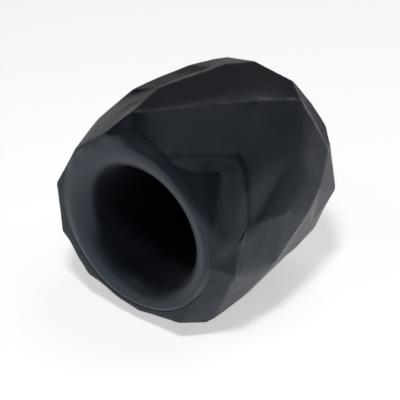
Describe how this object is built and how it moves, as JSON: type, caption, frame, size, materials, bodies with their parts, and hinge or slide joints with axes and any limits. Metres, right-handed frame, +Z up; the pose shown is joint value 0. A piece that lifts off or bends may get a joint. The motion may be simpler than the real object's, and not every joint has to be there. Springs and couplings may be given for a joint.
{
  "type": "case opening friction ball",
  "caption": "Hand-held rubber friction ball with a faceted outside and a round lipped cup, pressed on a screw-on watch case back to unscrew it.",
  "frame": {"origin": "on the plane of the resting facet, under the cup's axis, near the middle of the grip's length", "axes": "+Z up; the cup's axis runs along Y and its mouth faces -Y; +X is to the right when looking along +Y"},
  "size_m": [0.0589, 0.0529, 0.057],
  "materials": {
    "grip_rubber": "matte moulded black rubber with softened edges",
    "liner_rubber": "smooth soft black rubber with a faint bluish bloom"
  },
  "bodies": {
    "root": {"faceted_grip_body": "grip_rubber", "friction_liner": "liner_rubber"}
  },
  "joints": []
}
